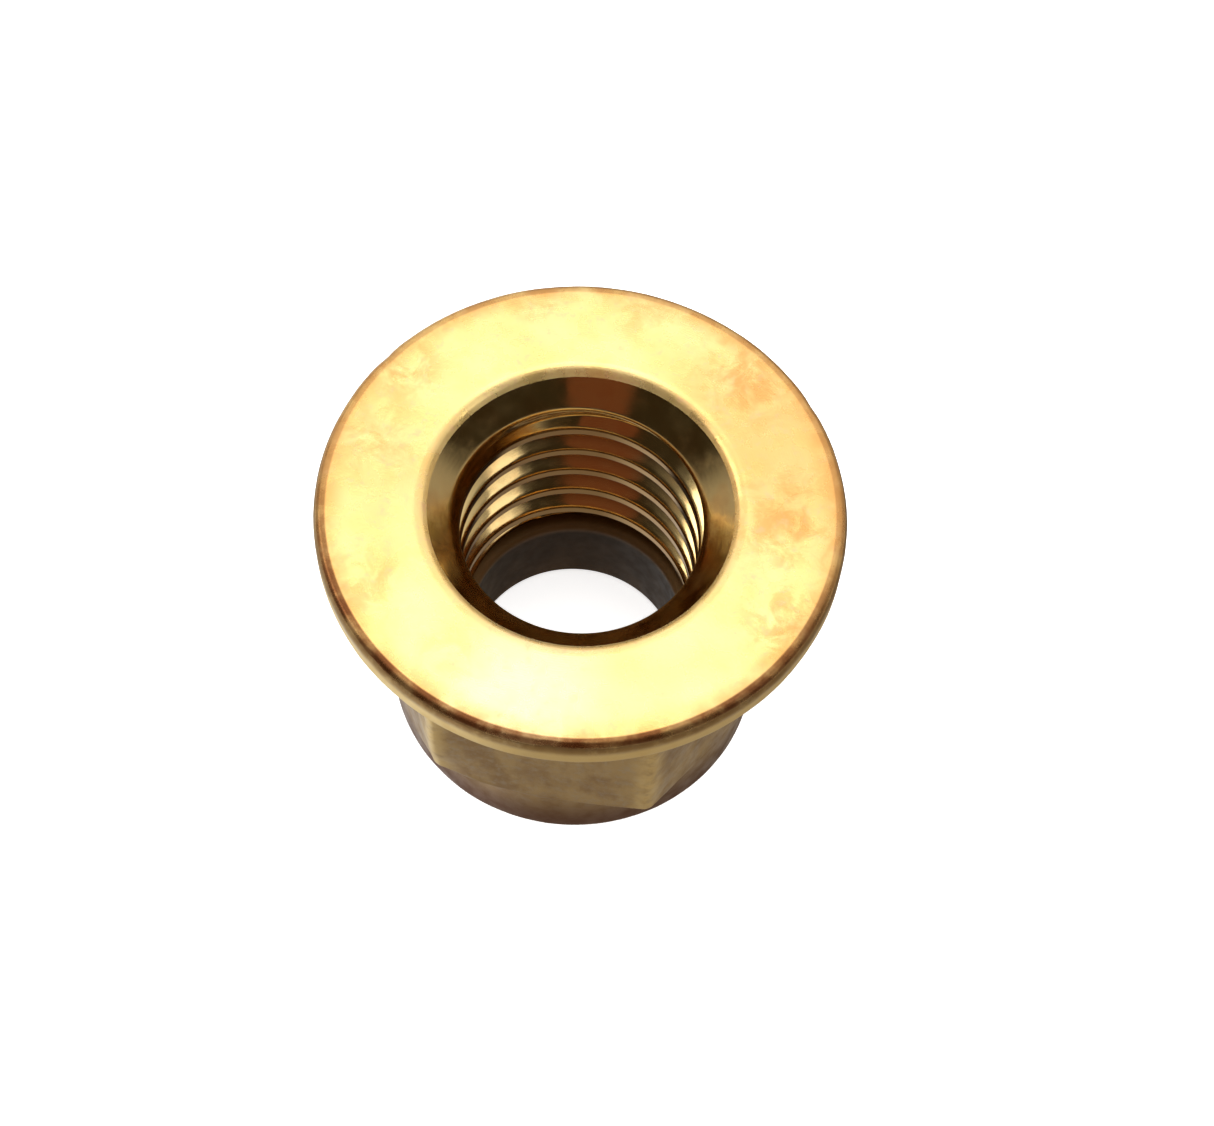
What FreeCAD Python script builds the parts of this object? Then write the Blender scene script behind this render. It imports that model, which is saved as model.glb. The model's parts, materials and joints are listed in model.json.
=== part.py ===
"""A brass flanged hexagon lock nut with a polymer locking ring crimped into its collar, in millimetres.

The origin is the centre of the collar's end, on the thread's axis. +Z points along the axis and out
of the flange's bearing face, so the nut stands on its collar with its flange uppermost.
Two separate pieces make the nut: the brass body, and the ring that the collar is rolled over.
"""

import math
import os

import FreeCAD
import Part

V = FreeCAD.Vector

# ---- driving dimensions, in millimetres and degrees --------------------------------------
thread_diameter = 12.0  # nominal, M12
thread_pitch = 1.75
bore_allowance = 0.15  # the tapping bore's diameter over the thread's basic minor diameter
minor_diameter_factor = 1.0825  # basic major less basic minor diameter, over the pitch
root_flat_share = 1 / 8  # of the pitch
flank_angle = 30.0  # from a plane square to the axis, for a 60 degree thread
seat_turns = 1.12  # turns of the groove's helix below the seat's floor, from its start on the +X side
run_out = 0.55  # from the countersink's foot up to where the middle of the groove ends on its cone
groove_overlap = 0.25  # how far the groove's section reaches in past the bore's wall
bore_seam_angle = 30.0  # where the first of the bore wall's four quarters starts, from +X

nut_height = 15.3
across_flats = 17.0
corner_radius = 0.5
hex_chamfer_angle = 30.0  # at the collar's root, from a plane square to the axis

flange_diameter = 22.4
rim_thickness = 1.4
rim_face_radius = 0.45  # where the rim meets the bearing face
rim_back_radius = 0.35
flange_back_angle = 25.0  # of the flange's sloping back, from a plane square to the axis
flare_radius = 1.6  # concave, where that back turns down into the flats
flare_inset = 0.1  # how far inside the flats the flare ends, so that it merges with them

countersink_margin = 0.77  # the countersink's mouth radius over the thread's radius
countersink_angle = 45.0  # from the axis
countersink_lip_radius = 0.75

collar_height = 3.5
collar_inset = 0.02  # the collar's radius under half the flats
collar_wall = 1.25
crimp_radius = 0.6  # outside, where the collar is rolled in over the ring
lip_thickness = 0.45
lip_overlap = 0.75  # how far the rolled lip covers the ring
seat_rise = 0.95  # the seat's floor over the collar's root
thread_end_chamfer = 0.1  # at the thread's far end, at 45 degrees

ring_bore_inset = 0.3  # the ring's bore radius under the tapping bore's radius
ring_edge_radius = 0.25
ring_recess = 0.12  # the ring's end face inside the collar's end

OVERRUN = 1.0  # how far a cutting tool runs past what it cuts
UPRIGHT = 0.99  # an edge whose direction has at least this much Z is one of the hexagon's corners

# ---- sizes worked out from them ----------------------------------------------------------
thread_radius = thread_diameter / 2
bore_radius = (thread_diameter - minor_diameter_factor * thread_pitch + bore_allowance) / 2
flange_radius = flange_diameter / 2
corner_distance = across_flats / math.sqrt(3)
mouth_radius = thread_radius + countersink_margin
countersink_slope = 1 / math.tan(math.radians(countersink_angle))
countersink_depth = (mouth_radius - bore_radius) * countersink_slope
collar_radius = across_flats / 2 - collar_inset
seat_radius = collar_radius - collar_wall
lip_radius = seat_radius - lip_overlap
seat_floor = collar_height + seat_rise
ring_bore_radius = bore_radius - ring_bore_inset
thread_start = seat_floor - seat_turns * thread_pitch
thread_end = nut_height - countersink_depth + run_out


def at(radius, z):
    """A point of a turned outline."""
    return V(radius, 0, z)


def rounded(before, corner, after, radius):
    """The arc that rounds one corner of a turned outline, with its two ends."""
    back = (before - corner).normalize()
    on = (after - corner).normalize()
    half = back.getAngle(on) / 2
    start = corner + back * (radius / math.tan(half))
    end = corner + on * (radius / math.tan(half))
    middle = corner + (back + on).normalize() * (radius / math.sin(half) - radius)
    return start, end, Part.Arc(start, middle, end).toShape()


def turned(outline):
    """A solid of revolution about Z from (radius, z, rounding) corners, where 0 leaves a corner sharp."""
    points = [at(radius, z) for radius, z, _ in outline]
    count = len(points)
    ends = []
    for i, (_, _, rounding) in enumerate(outline):
        if rounding > 0:
            ends.append(rounded(points[i - 1], points[i], points[(i + 1) % count], rounding))
        else:
            ends.append((points[i], points[i], None))
    edges = []
    for i, (_, end, arc) in enumerate(ends):
        if arc is not None:
            edges.append(arc)
        edges.append(Part.makeLine(end, ends[(i + 1) % count][0]))
    return Part.Face(Part.Wire(edges)).revolve(V(0, 0, 0), V(0, 0, 1), 360)


def flange():
    """The round flange: bearing face, rounded rim, and a sloping back that flares into the flats."""
    slope = math.tan(math.radians(flange_back_angle))
    root_radius = across_flats / 2 - flare_inset
    rim_bottom = nut_height - rim_thickness
    root = rim_bottom - (flange_radius - root_radius) * slope
    return turned(
        [
            (0, nut_height, 0),
            (flange_radius, nut_height, rim_face_radius),
            (flange_radius, rim_bottom, rim_back_radius),
            (root_radius, root, flare_radius),
            (root_radius, root - 2 * flare_radius, 0),
            (0, root - 2 * flare_radius, 0),
        ]
    )


def hexagon():
    """The wrench hexagon with rounded corners, chamfered all round at the collar's root."""
    corners = []
    for i in range(7):
        angle = math.radians(60 * i)
        x = corner_distance * math.cos(angle)
        corners.append(V(x, corner_distance * math.sin(angle), collar_height))
    top = nut_height - rim_thickness / 2
    prism = Part.Face(Part.makePolygon(corners)).extrude(V(0, 0, top - collar_height))
    upright = [e for e in prism.Edges if abs(e.tangentAt(e.FirstParameter).z) > UPRIGHT]
    prism = prism.makeFillet(corner_radius, upright)
    slope = math.tan(math.radians(hex_chamfer_angle))
    outer = corner_distance + OVERRUN
    envelope = turned(
        [
            (0, nut_height, 0),
            (outer, nut_height, 0),
            (outer, collar_height + (outer - collar_radius) * slope, 0),
            (collar_radius, collar_height, 0),
            (0, collar_height, 0),
        ]
    )
    return prism.common(envelope)


def collar():
    """The round collar, rolled in at its end over the locking ring."""
    return turned(
        [
            (0, collar_height * 2, 0),
            (collar_radius, collar_height * 2, 0),
            (collar_radius, 0, crimp_radius),
            (0, 0, 0),
        ]
    )


def tapping_bore():
    """The plain bore before tapping. Its wall is in four quarters, so that a crest is short faces."""
    circle = Part.Circle(V(0, 0, -OVERRUN), V(0, 0, 1), bore_radius)
    quarters = []
    for i in range(4):
        start = math.radians(90 * i + bore_seam_angle)
        quarters.append(Part.Arc(circle, start, start + math.pi / 2).toShape())
    return Part.Face(Part.Wire(quarters)).extrude(V(0, 0, nut_height + 2 * OVERRUN))


def countersink():
    """The cone at the bearing face, with a small rounded lip at its mouth."""
    low_radius = bore_radius - OVERRUN
    low_z = nut_height - (mouth_radius - low_radius) * countersink_slope
    return turned(
        [
            (0, nut_height + OVERRUN, 0),
            (mouth_radius + OVERRUN, nut_height + OVERRUN, 0),
            (mouth_radius + OVERRUN, nut_height, 0),
            (mouth_radius, nut_height, countersink_lip_radius),
            (low_radius, low_z, 0),
            (0, low_z, 0),
        ]
    )


def ring_seat():
    """The ring's seat inside the collar, the opening in its lip, and the chamfer at the thread's end."""
    low_radius = bore_radius - OVERRUN
    return turned(
        [
            (0, seat_floor + OVERRUN + thread_end_chamfer, 0),
            (low_radius, seat_floor + OVERRUN + thread_end_chamfer, 0),
            (bore_radius + thread_end_chamfer, seat_floor, 0),
            (seat_radius, seat_floor, 0),
            (seat_radius, lip_thickness + lip_overlap / 2, 0),
            (lip_radius, lip_thickness, 0),
            (lip_radius, -OVERRUN, 0),
            (0, -OVERRUN, 0),
        ]
    )


def thread_groove():
    """The right-hand helical groove, from inside the ring's seat to the countersink's cone."""
    root_half = thread_pitch * root_flat_share / 2
    inner_radius = bore_radius - groove_overlap
    inner_half = root_half + (thread_radius - inner_radius) * math.tan(math.radians(flank_angle))
    section = Part.makePolygon(
        [
            at(inner_radius, thread_start - inner_half),
            at(thread_radius, thread_start - root_half),
            at(thread_radius, thread_start + root_half),
            at(inner_radius, thread_start + inner_half),
            at(inner_radius, thread_start - inner_half),
        ]
    )
    helix = Part.makeLongHelix(thread_pitch, thread_end - thread_start, bore_radius)
    helix.translate(V(0, 0, thread_start))
    return Part.Wire(helix.Edges).makePipeShell([section], True, True)


def nut_body():
    """The brass body: flange, hexagon and collar in one piece, bored, countersunk and tapped."""
    blank = flange().fuse(hexagon()).fuse(collar()).removeSplitter()
    bored = blank.cut(tapping_bore()).cut(countersink()).cut(ring_seat())
    return bored.cut(thread_groove())


def locking_ring():
    """The polymer ring, which fills its seat and is held by the rolled lip."""
    return turned(
        [
            (ring_bore_radius, seat_floor, ring_edge_radius),
            (seat_radius, seat_floor, 0),
            (seat_radius, lip_thickness + lip_overlap / 2, 0),
            (lip_radius, lip_thickness, 0),
            (lip_radius, ring_recess, 0),
            (ring_bore_radius, ring_recess, ring_edge_radius),
        ]
    )


def main():
    os.makedirs("parts", exist_ok=True)
    for name, make in (("nut_body", nut_body), ("locking_ring", locking_ring)):
        shape = make()
        print(name, "solids", len(shape.Solids), "valid", shape.isValid(), round(shape.Volume, 2))
        shape.Solids[0].exportStep(f"parts/{name}.step")


main()
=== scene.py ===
"""Looks for the flanged lock nut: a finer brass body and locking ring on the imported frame, in metres."""

import json
import math

import bpy
import numpy as np
from mathutils import Matrix, Vector, noise


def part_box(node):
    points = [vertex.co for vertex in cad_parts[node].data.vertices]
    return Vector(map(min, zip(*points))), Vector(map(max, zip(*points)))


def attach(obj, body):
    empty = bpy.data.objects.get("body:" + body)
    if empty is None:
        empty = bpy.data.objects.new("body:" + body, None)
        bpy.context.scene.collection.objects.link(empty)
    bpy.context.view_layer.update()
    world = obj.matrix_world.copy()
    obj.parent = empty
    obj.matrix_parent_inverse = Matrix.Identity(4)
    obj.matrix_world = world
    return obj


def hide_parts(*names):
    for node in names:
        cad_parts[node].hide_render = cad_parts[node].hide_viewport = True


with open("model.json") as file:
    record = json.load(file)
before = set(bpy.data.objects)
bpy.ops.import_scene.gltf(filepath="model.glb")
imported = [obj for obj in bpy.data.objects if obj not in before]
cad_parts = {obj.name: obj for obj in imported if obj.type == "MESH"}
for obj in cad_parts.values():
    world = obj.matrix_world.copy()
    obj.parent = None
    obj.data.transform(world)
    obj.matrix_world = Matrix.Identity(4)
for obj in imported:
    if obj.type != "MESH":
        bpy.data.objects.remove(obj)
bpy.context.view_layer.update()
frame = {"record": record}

MM = 0.001

# ---- sizes, from the frame and its record where they give them, in metres -----------------
mounts = {mount["name"]: mount for mount in frame["record"]["mounts"]}
body_low, body_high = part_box("nut_body")
ring_low, ring_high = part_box("locking_ring")
nut_height = body_high.z
flange_radius = body_high.x
seat_radius = ring_high.x
seat_floor = ring_high.z
ring_recess = ring_low.z
bore_radius = mounts["thread"]["dims"]["r_mm"] * MM
ring_bore_radius = mounts["ring_bore"]["dims"]["r_mm"] * MM
ring_edge_radius = 0.25 * MM

half_flats = 8.5 * MM
corner_rounding = 0.5 * MM
chamfer_slope = math.tan(math.radians(30))
collar_radius = half_flats - 0.02 * MM
collar_height = 3.5 * MM
crimp_radius = 0.6 * MM
lip_radius = seat_radius - 0.75 * MM
lip_thickness = 0.45 * MM
lip_inside = lip_thickness + 0.375 * MM  # where the lip's conical inside meets the seat's wall
lip_edge_radius = 0.08 * MM

rim_thickness = 1.4 * MM
rim_face_radius = 0.45 * MM
flange_back_slope = math.tan(math.radians(25))
flare_root = half_flats - 0.1 * MM

thread_radius = 6.0 * MM
thread_pitch = 1.75 * MM
thread_end_chamfer = 0.1 * MM
flank_slope = math.tan(math.radians(30))
root_half = thread_pitch / 16
mouth_radius = thread_radius + 0.77 * MM
mouth_rounding = 0.75 * MM
countersink_depth = mouth_radius - bore_radius
thread_start = seat_floor - 1.12 * thread_pitch
thread_end = nut_height - countersink_depth + 0.55 * MM
fade_turns = 0.8  # the groove's last part, over which it grows shallow

# ---- widths over which surfaces are rounded into each other, in metres ----------------------
CHAMFER_BLEND = 0.18 * MM
COLLAR_BLEND = 0.10 * MM
RIM_BACK_BLEND = 0.5 * MM
FLARE_BLEND = 2.2 * MM
FLANGE_ROOT_BLEND = 0.12 * MM
ROOT_BLEND = 0.10 * MM
CREST_BLEND = 0.14 * MM
CONE_BLEND = 0.35 * MM
THREAD_END_BLEND = 0.05 * MM


# ---- smooth joins between surfaces -------------------------------------------------------
def smooth_low(a, b, width):
    """The lower of a and b, rounded over width where they cross."""
    t = np.clip(0.5 + 0.5 * (b - a) / width, 0, 1)
    return b * (1 - t) + a * t - width * t * (1 - t)


def smooth_high(a, b, width):
    """The higher of a and b, rounded over width where they cross."""
    return -smooth_low(-a, -b, width)


def steps(*stops):
    """Values from one stop to the next: (value, count), (value, count), ... without repeats."""
    values = [stops[0][0]]
    for (start, _), (end, count) in zip(stops, stops[1:]):
        values.extend(np.linspace(start, end, count + 1)[1:])
    return np.array(values)


# ---- the body's surfaces, each a radius for every angle and height ------------------------
def column_angles():
    """Angles round the nut, closer together at the hexagon's six corners."""
    near = np.array([0, 0.35, 0.75, 1.15, 1.55, 2.1, 2.9, 4.0])
    between = np.linspace(5.2, 54.8, 32)
    sector = np.concatenate([near, between, 60 - near[:0:-1]])
    return np.radians(np.concatenate([sector + 60 * k for k in range(6)]))


def hexagon(angle):
    """Distance from the axis to the hexagon's outline, with its corners rounded."""
    from_flat = np.mod(np.degrees(angle), 60) - 30
    flat = half_flats / np.cos(np.radians(from_flat))
    from_corner = np.radians(30 - np.abs(from_flat))
    centre = (half_flats - corner_rounding) / math.cos(math.radians(30))
    inside = np.clip(corner_rounding**2 - (centre * np.sin(from_corner)) ** 2, 0, None)
    arc = centre * np.cos(from_corner) + np.sqrt(inside)
    tangent = math.atan2(corner_rounding / 2, centre + corner_rounding * math.cos(math.radians(30)))
    return np.where(from_corner < tangent, arc, flat)


def outside(angle, z):
    """The outer wall from the collar up to the rim."""
    chamfer = collar_radius + (z - collar_height) / chamfer_slope
    prism = smooth_low(hexagon(angle), np.maximum(chamfer, 0), CHAMFER_BLEND)
    barrel = smooth_high(prism, collar_radius + 0 * prism, COLLAR_BLEND)
    rim_bottom = nut_height - rim_thickness
    back = flange_radius - (rim_bottom - z) / flange_back_slope
    flange = smooth_low(np.maximum(back, 0), flange_radius + 0 * back, RIM_BACK_BLEND)
    flared = smooth_high(flange, flare_root + 0 * flange, FLARE_BLEND)
    wall = smooth_high(barrel, flared, FLANGE_ROOT_BLEND)
    return np.minimum(wall, flange_radius)


def bore(angle, z):
    """The inner wall: thread, with the countersink above it and a small chamfer below."""
    along = (z - thread_start) / thread_pitch - angle / math.tau
    nearest = np.round(along)
    from_groove = np.abs(along - nearest) * thread_pitch
    groove = thread_radius - np.maximum(from_groove - root_half, 0) / flank_slope
    groove = smooth_low(groove, thread_radius + 0 * groove, ROOT_BLEND)
    groove = smooth_high(groove, bore_radius + 0 * groove, CREST_BLEND)
    left = (thread_end - thread_start) / thread_pitch - nearest - angle / math.tau
    depth = np.clip(left / fade_turns, 0, 1)
    thread = bore_radius + (groove - bore_radius) * depth * depth * (3 - 2 * depth)
    countersink = mouth_radius - (nut_height - z)
    chamfer = bore_radius + thread_end_chamfer - (z - seat_floor)
    coned = smooth_high(thread, countersink, CONE_BLEND)
    return smooth_high(coned, chamfer, THREAD_END_BLEND)


def arc_rows(centre_radius, centre_z, size, start, end, count):
    """Rows round an arc in the turned outline, as (radius, z), from start to end in degrees."""
    turn = np.radians(np.linspace(start, end, count))
    return [(centre_radius + size * math.cos(t), centre_z + size * math.sin(t)) for t in turn]


def body_rows(angle):
    """The body's closed outline as rows all round: out along the face, down the outside, up the bore."""
    ones = np.ones_like(angle)
    rows = []

    def add(radius, z, region):
        rows.append((radius * ones, z * ones, region))

    tilt = mouth_rounding * math.tan(math.radians(22.5))
    lip_centre = (mouth_radius + tilt, nut_height - mouth_rounding)
    for radius, z in arc_rows(*lip_centre, mouth_rounding, 135, 90, 12):
        add(radius, z, "face")
    for radius in np.linspace(lip_centre[0], flange_radius - rim_face_radius, 26)[1:]:
        add(radius, nut_height, "face")
    rim_centre = (flange_radius - rim_face_radius, nut_height - rim_face_radius)
    for radius, z in arc_rows(*rim_centre, rim_face_radius, 90, 0, 10)[1:]:
        add(radius, z, "face" if z > rim_centre[1] + rim_face_radius / 2 else "side")
    heights = steps(
        (rim_centre[1], 0),
        (nut_height - rim_thickness, 12),
        (nut_height - 4.6 * MM, 40),
        (collar_height + 1.4 * MM, 20),
        (collar_height - 0.15 * MM, 24),
        (crimp_radius, 12),
    )
    for z in heights[1:]:
        rows.append((outside(angle, z), z * ones, "side"))
    for radius, z in arc_rows(collar_radius - crimp_radius, crimp_radius, crimp_radius, 0, -90, 11)[1:]:
        add(radius, z, "side")
    lip_centre_radius = lip_radius + lip_edge_radius
    for radius in np.linspace(collar_radius - crimp_radius, lip_centre_radius, 7)[1:]:
        add(radius, 0, "side")
    for radius, z in arc_rows(lip_centre_radius, lip_edge_radius, lip_edge_radius, 270, 180, 4)[1:]:
        add(radius, z, "side")
    for radius, z in (
        (lip_radius, lip_thickness),
        (seat_radius, lip_inside),
        (seat_radius, seat_floor),
        (bore_radius + 0.45 * MM, seat_floor),
    ):
        add(radius, z, "bore")
    mouth_low = nut_height - mouth_rounding + mouth_rounding * math.sin(math.radians(135))
    for z in steps((seat_floor + 0.02 * MM, 0), (nut_height - 1.5 * MM, 150), (mouth_low, 14))[:-1]:
        rows.append((bore(angle, z), z * ones, "bore"))
    return rows


def grid_mesh(name, angle, rows, closed=True):
    """A mesh from rows of points round the axis, each row joined to the next and the last to the first."""
    points = []
    for radius, z, _ in rows:
        points.append(np.stack([radius * np.cos(angle), radius * np.sin(angle), z], axis=1))
    count = len(angle)
    total = len(rows)
    faces = []
    regions = []
    for i in range(total if closed else total - 1):
        j = (i + 1) % total
        for a in range(count):
            b = (a + 1) % count
            faces.append((i * count + a, j * count + a, j * count + b, i * count + b))
            regions.append(rows[j][2])
    mesh = bpy.data.meshes.new(name)
    mesh.from_pydata(np.concatenate(points).tolist(), [], faces)
    mesh.validate()
    mesh.polygons.foreach_set("use_smooth", [True] * len(mesh.polygons))
    piece = bpy.data.objects.new(name, mesh)
    bpy.context.scene.collection.objects.link(piece)
    return piece, regions


# Small knocks: (angle in degrees, radius, height, size, depth), the lengths in millimetres.
KNOCKS = [
    (-86, 11.2, 15.2, 0.30, 0.10),
    (-83, 11.2, 15.2, 0.22, 0.08),
    (-79.5, 11.2, 15.2, 0.26, 0.07),
    (-128, 11.2, 15.2, 0.40, 0.06),
    (38, 11.2, 15.2, 0.35, 0.05),
    (150, 11.2, 15.2, 0.40, 0.06),
    (-30, 9.7, 9.0, 0.6, 0.05),
    (-120, 9.6, 4.3, 1.6, 0.32),
    (-90, 9.7, 6.0, 0.6, 0.05),
    (90, 9.7, 7.5, 0.7, 0.05),
]


def wear(piece):
    """Uneven forged sides and small knocks on the edges, cut inwards so that the piece stays in its box."""
    for vertex in piece.data.vertices:
        point = vertex.co.copy()
        radius = math.hypot(point.x, point.y)
        if radius < mouth_radius:
            continue
        outward = Vector((point.x, point.y, 0)) / radius
        inward = 0.0
        if point.z < nut_height - 0.05 * MM:
            inward += 0.03 * MM * (0.5 + 0.5 * noise.noise(point / (2.2 * MM)))
            inward += 0.012 * MM * (0.5 + 0.5 * noise.noise(point / (0.6 * MM)))
        for degrees, far, height, size, depth in KNOCKS:
            place = Matrix.Rotation(math.radians(degrees), 4, "Z") @ Vector((far * MM, 0, height * MM))
            reach = (point - place).length / (size * MM)
            if reach < 3:
                inward += depth * MM * math.exp(-reach * reach)
        vertex.co = point - outward * inward


# ---- materials ---------------------------------------------------------------------------
class Nodes:
    """A short way to build the nodes of one material, or of the world."""

    def __init__(self, tree, coordinates):
        self.tree = tree
        self.place = self.add("ShaderNodeTexCoord").outputs[coordinates]
        parts = self.add("ShaderNodeSeparateXYZ")
        self.link(self.place, parts.inputs[0])
        self.x, self.y, self.z = parts.outputs

    def add(self, kind, **settings):
        node = self.tree.nodes.new(kind)
        for key, value in settings.items():
            setattr(node, key, value)
        return node

    def link(self, source, socket):
        self.tree.links.new(source, socket)

    def math(self, operation, a, b=0.0):
        node = self.add("ShaderNodeMath", operation=operation)
        for socket, value in zip(node.inputs, (a, b)):
            if isinstance(value, bpy.types.NodeSocket):
                self.link(value, socket)
            else:
                socket.default_value = value
        return node.outputs[0]

    def times(self, *values):
        product = values[0]
        for value in values[1:]:
            product = self.math("MULTIPLY", product, value)
        return product

    def along(self, x, y, z):
        """How far the place reaches along a direction."""
        flat = self.math("ADD", self.times(self.x, x), self.times(self.y, y))
        return self.math("ADD", flat, self.times(self.z, z))

    def stretched(self, scale):
        node = self.add("ShaderNodeMapping")
        self.link(self.place, node.inputs["Vector"])
        node.inputs["Scale"].default_value = scale
        return node.outputs[0]

    def noise(self, size, detail=4.0, roughness=0.55, vector=None, distortion=0.0):
        """Noise whose features are about size metres across, from 0 to 1."""
        node = self.add("ShaderNodeTexNoise")
        self.link(vector or self.place, node.inputs["Vector"])
        node.inputs["Scale"].default_value = 1 / size
        node.inputs["Detail"].default_value = detail
        node.inputs["Roughness"].default_value = roughness
        node.inputs["Distortion"].default_value = distortion
        return node.outputs["Fac"]

    def between(self, value, low, high, to_low=0.0, to_high=1.0):
        node = self.add("ShaderNodeMapRange", interpolation_type="SMOOTHSTEP")
        self.link(value, node.inputs["Value"])
        for name, number in (("From Min", low), ("From Max", high), ("To Min", to_low), ("To Max", to_high)):
            node.inputs[name].default_value = number
        return node.outputs["Result"]

    def band(self, value, low, high, soft):
        """1 from low to high, and 0 once soft beyond them."""
        rising = self.between(value, low - soft, low)
        falling = self.between(value, high, high + soft, 1.0, 0.0)
        return self.times(rising, falling)

    def mix(self, amount, a, b):
        node = self.add("ShaderNodeMix", data_type="RGBA")
        if isinstance(amount, bpy.types.NodeSocket):
            self.link(amount, node.inputs["Factor"])
        else:
            node.inputs["Factor"].default_value = amount
        for name, colour in (("A", a), ("B", b)):
            socket = [s for s in node.inputs if s.name == name and s.type == "RGBA"][0]
            if isinstance(colour, bpy.types.NodeSocket):
                self.link(colour, socket)
            else:
                socket.default_value = (*colour, 1)
        return [s for s in node.outputs if s.type == "RGBA"][0]

    def bump(self, height, strength, distance, after=None):
        node = self.add("ShaderNodeBump")
        self.link(height, node.inputs["Height"])
        node.inputs["Strength"].default_value = strength
        node.inputs["Distance"].default_value = distance
        if after is not None:
            self.link(after, node.inputs["Normal"])
        return node.outputs["Normal"]

    def radius(self):
        """Distance from the thread's axis, in metres."""
        return self.math("SQRT", self.math("ADD", self.times(self.x, self.x), self.times(self.y, self.y)))

    def patch(self, degrees, radius, size):
        """1 at a place on the nut's top, given by angle and radius in mm, and 0 at size mm from it."""
        turn = math.radians(degrees)
        from_x = self.math("SUBTRACT", self.x, radius * MM * math.cos(turn))
        from_y = self.math("SUBTRACT", self.y, radius * MM * math.sin(turn))
        squares = self.math("ADD", self.times(from_x, from_x), self.times(from_y, from_y))
        return self.between(self.math("SQRT", squares), 0.1 * size * MM, size * MM, 1.0, 0.0)


class Surface(Nodes):
    """The nodes of one new material."""

    def __init__(self, name):
        self.material = bpy.data.materials.new(name)
        self.material.use_nodes = True
        super().__init__(self.material.node_tree, "Object")
        self.shader = self.tree.nodes["Principled BSDF"]

    def finish(self, colour, roughness, normal, metallic):
        self.link(colour, self.shader.inputs["Base Color"])
        self.link(roughness, self.shader.inputs["Roughness"])
        self.link(normal, self.shader.inputs["Normal"])
        self.shader.inputs["Metallic"].default_value = metallic
        return self.material


GOLD = (0.93, 0.66, 0.25)
PALE_GOLD = (0.97, 0.74, 0.33)
PAINTED_HIGHLIGHT_GOLD = (0.99, 0.80, 0.46)
DULL_GOLD = (0.54, 0.38, 0.175)
CUT_GOLD = (0.76, 0.56, 0.26)
ORANGE_TARNISH = (0.68, 0.32, 0.09)
PINK_TARNISH = (0.82, 0.47, 0.27)
BROWN_TARNISH_AND_SHADE = (0.30, 0.17, 0.07)
DARK_BROWN = (0.12, 0.036, 0.009)
GREY_TARNISH = (0.50, 0.44, 0.35)
POLYMER_DARK = (0.038, 0.018, 0.005)
POLYMER_LIGHT = (0.056, 0.028, 0.009)
POLYMER_LEDGE = (0.22, 0.12, 0.045)

# Tarnished places on the bearing face: (angle in degrees, radius and size in mm, how strong).
TARNISH = [
    (112, 10.4, 1.8, 0.60),
    (150, 10.2, 2.6, 0.80),
    (172, 9.0, 3.0, 0.60),
    (214, 9.6, 2.8, 0.60),
    (243, 8.8, 2.2, 0.35),
    (6, 8.8, 4.0, 0.80),
    (-22, 10.2, 3.2, 0.80),
    (52, 9.6, 3.8, 0.80),
    (84, 10.3, 2.6, 0.45),
]

# Broad warmer places on it, in the same terms.
WARM = [
    (28, 8.8, 8.0, 0.50),
    (183, 8.8, 6.0, 0.30),
]


def brass_face():
    """The turned bearing face: bright satin brass, with faint turning lines, grain and orange tarnish, a
    painted highlight at the front and a painted dark reflection along the rim edge.
    """
    n = Surface("brass_face")
    radius = n.radius()
    colour = n.mix(n.between(n.noise(2.2 * MM), 0.35, 0.65), GOLD, PALE_GOLD)
    # Painted highlight: a paler patch at the front of the face.
    colour = n.mix(n.times(n.patch(-95, 9.2, 5.0), 0.85), colour, PAINTED_HIGHLIGHT_GOLD)
    for degrees, far, size, strength in WARM:
        colour = n.mix(n.times(n.patch(degrees, far, size), strength), colour, ORANGE_TARNISH)
    cloud = n.between(n.noise(1.3 * MM, 7, 0.68, distortion=0.6), 0.38, 0.64)
    for degrees, far, size, strength in TARNISH:
        colour = n.mix(n.times(n.patch(degrees, far, size), cloud, strength), colour, ORANGE_TARNISH)
    freckle = n.between(n.noise(0.55 * MM, 4, 0.7), 0.54, 0.74)
    colour = n.mix(n.times(freckle, 0.50), colour, PINK_TARNISH)
    edge = n.between(radius, flange_radius - 1.5 * MM, flange_radius - 0.30 * MM)
    uneven = n.between(n.noise(1.2 * MM, 4), 0.30, 0.62, 0.35, 1.0)
    colour = n.mix(n.times(edge, uneven, 0.80), colour, ORANGE_TARNISH)
    # Painted dark reflection: a dark brown line along the rim edge, strongest at the front, broken up by
    # noise.
    outline = n.band(radius, flange_radius - 0.48 * MM, flange_radius - 0.16 * MM, 0.10 * MM)
    broken = n.between(n.noise(1.2 * MM, 4), 0.30, 0.62, 0.72, 1.0)
    front = n.between(n.y, -0.6 * flange_radius, 0.2 * flange_radius, 1.0, 0.40)
    colour = n.mix(n.times(outline, broken, front, 0.97), colour, DARK_BROWN)
    beyond = n.between(radius, flange_radius - 0.20 * MM, flange_radius - 0.08 * MM)
    colour = n.mix(n.times(beyond, 0.45), colour, DULL_GOLD)
    rough = n.between(n.noise(1.1 * MM, 6), 0.3, 0.75, 0.20, 0.40)
    rings = n.math("SINE", n.times(radius, math.tau / (0.11 * MM)))
    lines = n.bump(rings, 0.10, 0.004 * MM)
    grain = n.bump(n.noise(0.14 * MM, 3), 0.45, 0.014 * MM, lines)
    waves = n.bump(n.noise(1.6 * MM, 3), 0.5, 0.03 * MM, grain)
    return n.finish(colour, rough, waves, 0.82)


CORNER_WEAR_AND_HIGHLIGHT = 6.5  # degrees to each side of a corner, over which the wear and its painted highlight fade out


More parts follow.
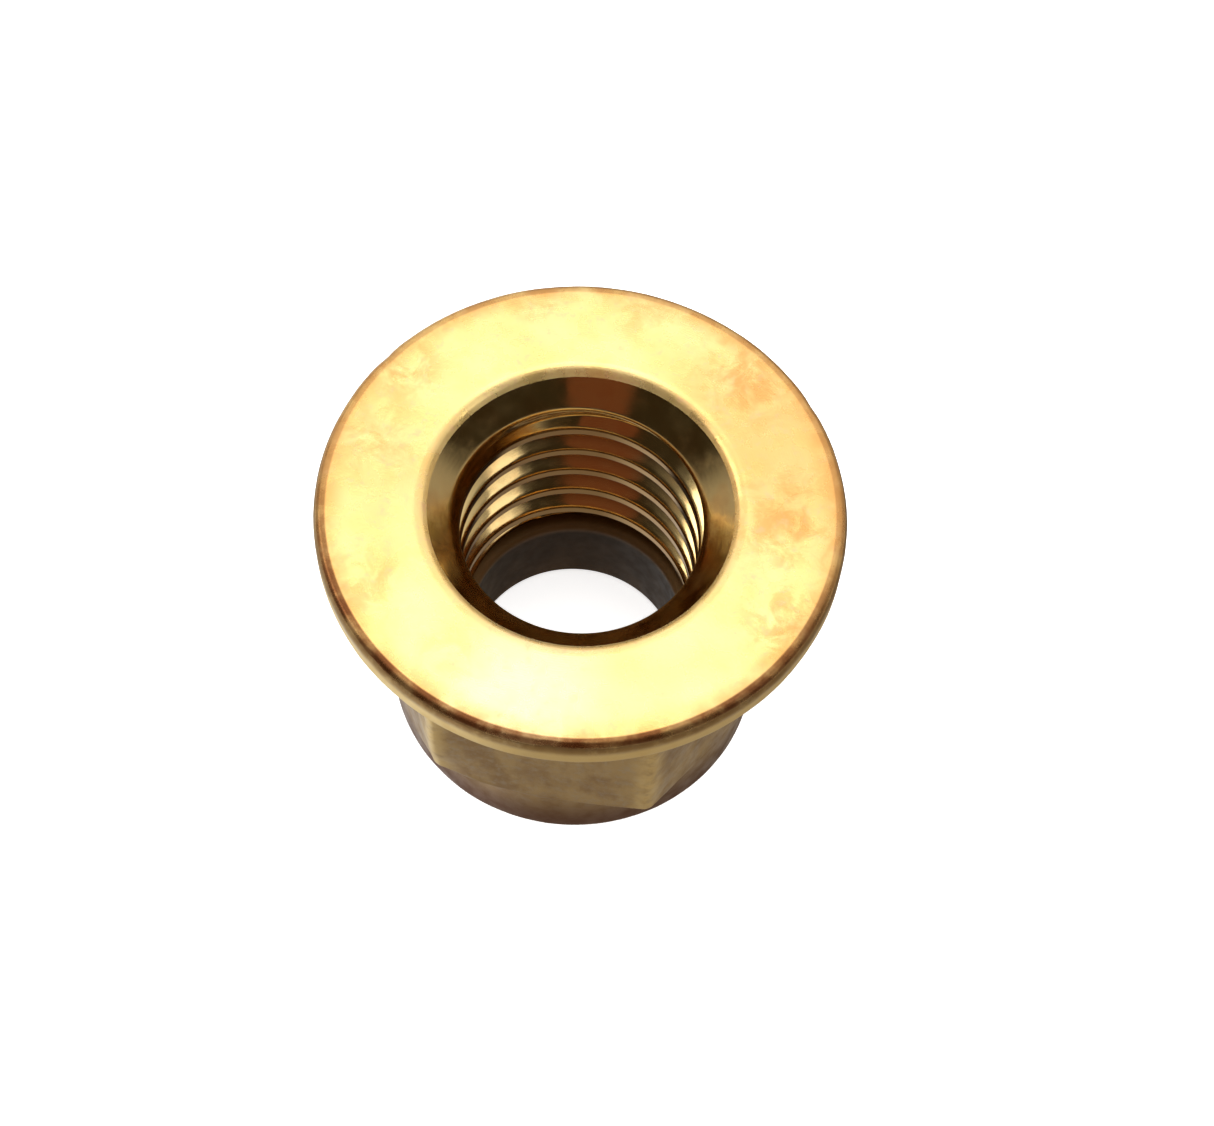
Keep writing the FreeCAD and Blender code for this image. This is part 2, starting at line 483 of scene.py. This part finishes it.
def corner_wear_and_highlight(n):
    """1 on the hexagon's six corners, 0 on its flats, and fading out at both ends of a corner."""
    from_corner = n.math("PINGPONG", n.math("ARCTAN2", n.y, n.x), math.radians(30))
    near = n.between(from_corner, 0.0, math.radians(CORNER_WEAR_AND_HIGHLIGHT), 1.0, 0.0)
    above = n.between(n.z, collar_height, collar_height + 0.9 * MM)
    below = n.between(n.z, nut_height - 4.4 * MM, nut_height - 2.4 * MM, 1.0, 0.0)
    return n.times(near, above, below)


def brass_side():
    """The forged rim, flange back, hexagon and collar: mottled satin brass, with painted highlights on the
    corners and round the rim, a painted dark line under the rim's edge, and painted shade making it browner
    and darker low down.
    """
    n = Surface("brass_side")
    patch = n.between(n.noise(1.9 * MM, 5, 0.6, n.stretched((1, 1, 0.6))), 0.38, 0.64)
    stain = n.between(n.noise(0.5 * MM, 5, 0.7), 0.46, 0.68)
    colour = n.mix(n.times(patch, 0.72), DULL_GOLD, BROWN_TARNISH_AND_SHADE)
    colour = n.mix(n.times(stain, 0.40), colour, GREY_TARNISH)
    rubbed_and_highlit = n.between(n.noise(0.7 * MM, 4), 0.30, 0.60, 0.45, 1.0)
    # Wear and painted highlight: the hexagon's corners painted paler, as rubbed brass that also catches the
    # light.
    colour = n.mix(n.times(corner_wear_and_highlight(n), rubbed_and_highlit, 0.75), colour, PALE_GOLD)
    # Painted highlight: a paler band round the rim, for the light it catches.
    rim = n.band(n.z, nut_height - 3.0 * MM, nut_height - 0.75 * MM, 0.7 * MM)
    colour = n.mix(n.times(rim, 0.90), colour, PALE_GOLD)
    # Painted dark reflection: a dark brown line just under the rim's top edge, unevenly broken.
    uneven = n.between(n.noise(0.6 * MM, 5, 0.7), 0.32, 0.55, 0.45, 1.0)
    line = n.between(n.z, nut_height - 0.75 * MM, nut_height - 0.22 * MM)
    colour = n.mix(n.times(line, uneven, 0.80), colour, BROWN_TARNISH_AND_SHADE)
    # Painted shade: the lower sides and the foot darkened towards the bottom, for the shade near the floor.
    low = n.between(n.z, 0.8 * MM, 5.2 * MM, 1.0, 0.0)
    colour = n.mix(n.times(low, 0.90), colour, BROWN_TARNISH_AND_SHADE)
    foot = n.between(n.z, 0.6 * MM, 3.6 * MM, 1.0, 0.0)
    colour = n.mix(n.times(foot, 0.92), colour, DARK_BROWN)
    end = n.between(n.z, 0.02 * MM, 0.20 * MM, 1.0, 0.0)
    colour = n.mix(n.times(end, 0.75), colour, DULL_GOLD)
    rough = n.between(n.noise(0.9 * MM, 6), 0.3, 0.75, 0.28, 0.50)
    drawn = n.bump(n.noise(0.25 * MM, 4, 0.6, n.stretched((1, 1, 0.12))), 0.35, 0.015 * MM)
    uneven_wall = n.bump(n.noise(0.8 * MM, 5), 0.6, 0.03 * MM, drawn)
    return n.finish(colour, rough, uneven_wall, 1.0)


def brass_bore():
    """The cut thread and countersink: brighter and smoother, with painted shade darkening the roots of the
    thread.
    """
    n = Surface("brass_bore")
    patch = n.between(n.noise(1.5 * MM, 4), 0.42, 0.70)
    colour = n.mix(n.times(patch, 0.30), CUT_GOLD, ORANGE_TARNISH)
    # Painted shade: the thread's roots darkened brown below the countersink.
    root = n.between(n.radius(), bore_radius + 0.12 * MM, thread_radius)
    below = n.between(n.z, nut_height - 3.6 * MM, nut_height - 3.0 * MM, 1.0, 0.0)
    colour = n.mix(n.times(root, below, 0.80), colour, BROWN_TARNISH_AND_SHADE)
    crest = n.between(n.radius(), bore_radius + 0.015 * MM, bore_radius + 0.07 * MM, 1.0, 0.0)
    colour = n.mix(n.times(crest, 0.80), colour, BROWN_TARNISH_AND_SHADE)
    rough = n.between(n.noise(0.8 * MM, 5), 0.3, 0.75, 0.10, 0.21)
    cut = n.bump(n.noise(0.12 * MM, 3, 0.6, n.stretched((0.15, 0.15, 1))), 0.25, 0.008 * MM)
    return n.finish(colour, rough, cut, 1.0)


def ring_polymer():
    """The locking ring: a smooth dark brown moulded polymer with a soft gloss, its top ledge painted lighter
    against its shade.
    """
    n = Surface("ring_polymer")
    cloud = n.between(n.noise(1.8 * MM, 4), 0.35, 0.7)
    colour = n.mix(cloud, POLYMER_DARK, POLYMER_LIGHT)
    # Painted light: the ring's top ledge, which lies in shade under the brass, painted a lighter brown.
    ledge = n.between(n.z, seat_floor - 0.55 * MM, seat_floor - 0.05 * MM)
    colour = n.mix(n.times(ledge, 0.8), colour, POLYMER_LEDGE)
    rough = n.between(n.noise(0.6 * MM, 4), 0.3, 0.7, 0.48, 0.60)
    grain = n.bump(n.noise(0.3 * MM, 3), 0.25, 0.01 * MM)
    n.shader.inputs["Specular IOR Level"].default_value = 0.12
    return n.finish(colour, rough, grain, 0.0)


# ---- the two pieces ----------------------------------------------------------------------
def make_body():
    angle = column_angles()
    piece, regions = grid_mesh("nut_body_fine", angle, body_rows(angle))
    wear(piece)
    order = ["face", "side", "bore"]
    for material in (brass_face(), brass_side(), brass_bore()):
        piece.data.materials.append(material)
    piece.data.polygons.foreach_set("material_index", [order.index(r) for r in regions])
    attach(piece, "root")
    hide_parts("nut_body")


def make_ring():
    angle = np.radians(np.arange(0, 360, 2))
    ones = np.ones_like(angle)
    size = ring_edge_radius
    outline = arc_rows(ring_bore_radius + size, seat_floor - size, size, 180, 90, 8)
    outline += [(seat_radius, seat_floor), (seat_radius, lip_inside)]
    outline += [(lip_radius, lip_thickness), (lip_radius, ring_recess)]
    outline += arc_rows(ring_bore_radius + size, ring_recess + size, size, 270, 180, 8)
    heights = np.linspace(ring_recess + size, seat_floor - size, 26)[1:-1]
    outline += [(ring_bore_radius, z) for z in heights]
    rows = [(radius * ones, z * ones, "ring") for radius, z in outline]
    piece, _ = grid_mesh("locking_ring_fine", angle, rows)
    piece.data.materials.append(ring_polymer())
    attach(piece, "root")
    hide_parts("locking_ring")


# ---- floor, light and camera -------------------------------------------------------------
FLOOR_GLOW = 0.80
FLOOR_GAP = 0.02 * MM  # under the collar's end, so that the two faces don't coincide
FLOOR_REACH = 1.6  # from the axis to the upright part, in metres
FLOOR_CURVE = 1.2  # radius of the curve between the two
FLOOR_PALE = (0.90, 0.90, 0.90)
FLOOR_PALER = (0.92, 0.92, 0.92)
WARM_LIGHT = (1.0, 0.27, 0.12)
SOFT_WHITE = (1.0, 0.98, 0.92)
OVERHEAD = 0.80  # added at the top of the sky
SKY_DARK = (0.034, 0.026, 0.015)
SKY_BRIGHT = (1.22, 1.20, 1.12)
HORIZON = (0.42, 0.39, 0.34)
GROUND_DIM = (0.40, 0.35, 0.28)
GROUND_BRIGHT = (0.86, 0.84, 0.80)


def make_floor():
    """A white floor that curves up all round. Metal reflects the studio's own ground in its place."""
    angle = np.radians(np.arange(0, 360, 5))
    ones = np.ones_like(angle)
    outline = [(0, -FLOOR_GAP), (FLOOR_REACH - FLOOR_CURVE, -FLOOR_GAP)]
    outline += arc_rows(FLOOR_REACH - FLOOR_CURVE, FLOOR_CURVE - FLOOR_GAP, FLOOR_CURVE, -90, 0, 16)[1:]
    rows = [(radius * ones, z * ones, "floor") for radius, z in outline]
    floor, _ = grid_mesh("floor", angle, rows, closed=False)
    n = Surface("floor_white")
    paper = n.between(n.noise(0.02, 3), 0.3, 0.7)
    n.link(n.mix(paper, FLOOR_PALE, FLOOR_PALER), n.shader.inputs["Base Color"])
    n.shader.inputs["Roughness"].default_value = 0.9
    n.shader.inputs["Emission Color"].default_value = (1, 1, 1, 1)
    n.shader.inputs["Emission Strength"].default_value = FLOOR_GLOW
    floor.data.materials.append(n.material)
    floor.visible_glossy = False


def softbox(name, azimuth, elevation, distance, width, height, radiance, colour=(1, 1, 1), seen=True):
    """A rectangular light aimed at the nut. Azimuth is from +Y towards +X, in degrees."""
    lamp = bpy.data.lights.new(name, "AREA")
    lamp.shape = "RECTANGLE"
    lamp.size = width
    lamp.size_y = height
    lamp.energy = radiance * math.pi * width * height
    lamp.color = colour
    holder = bpy.data.objects.new(name, lamp)
    a = math.radians(azimuth)
    e = math.radians(elevation)
    target = Vector((0, 0, nut_height / 2))
    offset = Vector((math.sin(a) * math.cos(e), math.cos(a) * math.cos(e), math.sin(e))) * distance
    holder.location = target + offset
    holder.rotation_euler = (-offset).to_track_quat("-Z", "Y").to_euler()
    holder.visible_glossy = seen
    bpy.context.scene.collection.objects.link(holder)


def make_studio():
    """Soft light: brightest overhead, bright behind, dark in front, a soft horizon and a pale ground."""
    world = bpy.data.worlds.new("studio")
    world.use_nodes = True
    n = Nodes(world.node_tree, "Generated")
    behind = n.between(n.along(-0.12, 0.74, 0.50), 0.10, 0.72)
    sky = n.mix(behind, SKY_DARK, SKY_BRIGHT)
    sky = n.mix(n.between(n.z, 0.12, 0.30, 1.0, 0.0), sky, HORIZON)
    to_left = n.between(n.x, -0.45, -0.05, 1.0, 0.0)
    ground = n.mix(to_left, GROUND_DIM, GROUND_BRIGHT)
    below = n.between(n.z, -0.06, 0.02, 1.0, 0.0)
    background = world.node_tree.nodes["Background"]
    n.link(n.mix(below, sky, ground), background.inputs["Color"])
    top = n.between(n.along(-0.12, 0.15, 0.98), 0.89, 0.98, 1.0, 1.0 + OVERHEAD)
    n.link(top, background.inputs["Strength"])
    bpy.context.scene.world = world
    bpy.context.scene.view_settings.view_transform = "Standard"


def make_lights():
    softbox("floor_wash", 0, 78, 0.6, 0.30, 0.30, 5.0, seen=False)
    softbox("warm_card", 180, 48, 0.5, 0.32, 0.5, 0.12, WARM_LIGHT)
    softbox("left_strip", -85, 40, 0.6, 0.24, 0.26, 2.9, SOFT_WHITE)
    softbox("right_strip", 97, 43, 0.6, 0.18, 0.22, 1.4, SOFT_WHITE)


def make_camera():
    """Seen from above the front, turned a little to the right of it, with the nut left of centre."""
    aim = Vector((1.56, -2.54, 15.3)) * MM
    heading = math.radians(-6.77)
    elevation = math.radians(61.96)
    distance = 97.4 * MM
    roll = math.radians(4.21)
    level = math.cos(elevation)
    ahead = Vector((math.sin(heading) * level, math.cos(heading) * level, -math.sin(elevation)))
    lens = bpy.data.cameras.new("camera")
    lens.sensor_width = 36
    lens.lens = 70.1
    lens.clip_start = 0.005
    camera = bpy.data.objects.new("camera", lens)
    turn = ahead.to_track_quat("-Z", "Y").to_matrix().to_4x4()
    camera.matrix_world = Matrix.Translation(aim - ahead * distance) @ turn @ Matrix.Rotation(roll, 4, "Z")
    bpy.context.scene.collection.objects.link(camera)
    bpy.context.scene.camera = camera


make_body()
make_ring()
make_floor()
make_studio()
make_lights()
make_camera()
